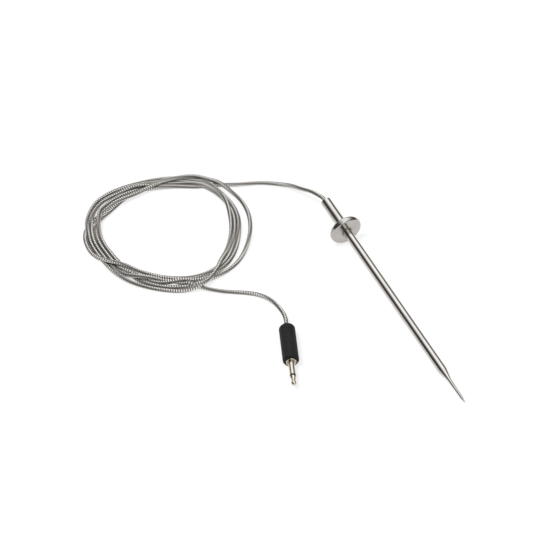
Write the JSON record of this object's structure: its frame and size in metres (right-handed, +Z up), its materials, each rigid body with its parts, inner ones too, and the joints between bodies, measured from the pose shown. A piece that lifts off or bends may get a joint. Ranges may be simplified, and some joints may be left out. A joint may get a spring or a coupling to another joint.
{
  "type": "meat thermometer probe",
  "caption": "Straight steel meat probe with a swaged needle tip, a round stop disc and a coiled steel-braided cable that ends in a small jack plug.",
  "frame": {"origin": "on the table, under the middle of the probe's own box: needle, sheath, stop disc and handle sleeve, without the cable and the plug", "axes": "+X along the probe towards the needle's point, +Z up from the table that everything lies on, +Y to the left seen along +X"},
  "size_m": [0.1693, 0.1024, 0.0136],
  "materials": {
    "polished_steel": "polished stainless tube with faint drawn lines",
    "disc_steel": "turned and polished stainless",
    "weld_steel": "heat-tinted weld",
    "steel_braid": "woven stainless wire over-braid",
    "nickel": "bright warm nickel plate",
    "brass": "plain stamped brass",
    "copper": "bare wire",
    "black_rubber": "matte moulded elastomer with a fine grain",
    "core_resin": "plain moulded",
    "dark_insulator": "smooth moulded",
    "white_sleeving": "plain extruded",
    "red_insulation": "plain extruded",
    "glass": "fused glass bead",
    "filler": "set thermal compound"
  },
  "bodies": {
    "root": {"handle_sleeve": "polished_steel", "probe_sheath": "polished_steel", "needle_point": "polished_steel", "stop_disc": "disc_steel", "disc_weld": "weld_steel", "braid_ferrule": "brass", "splice_sleeve": "white_sleeving", "conductor_a": "red_insulation", "conductor_b": "red_insulation", "splice_crimp_a": "brass", "splice_crimp_b": "brass", "sensor_lead_a": "copper", "sensor_lead_b": "copper", "lead_sleeving_a": "white_sleeving", "lead_sleeving_b": "white_sleeving", "sensor_bead": "glass", "thermal_filler": "filler", "cord_lead": "steel_braid", "cord_coil": "steel_braid", "cord_tail": "steel_braid", "plug_overmould": "black_rubber", "plug_core": "core_resin", "plug_braid_clamp": "brass", "plug_collar": "nickel", "plug_pin_sleeve": "nickel", "plug_insulator_tube": "white_sleeving", "plug_insulator_ring": "dark_insulator", "plug_tip_contact": "nickel", "tip_terminal": "brass", "sleeve_terminal": "brass", "plug_wire_a": "red_insulation", "plug_wire_b": "red_insulation"}
  },
  "joints": []
}
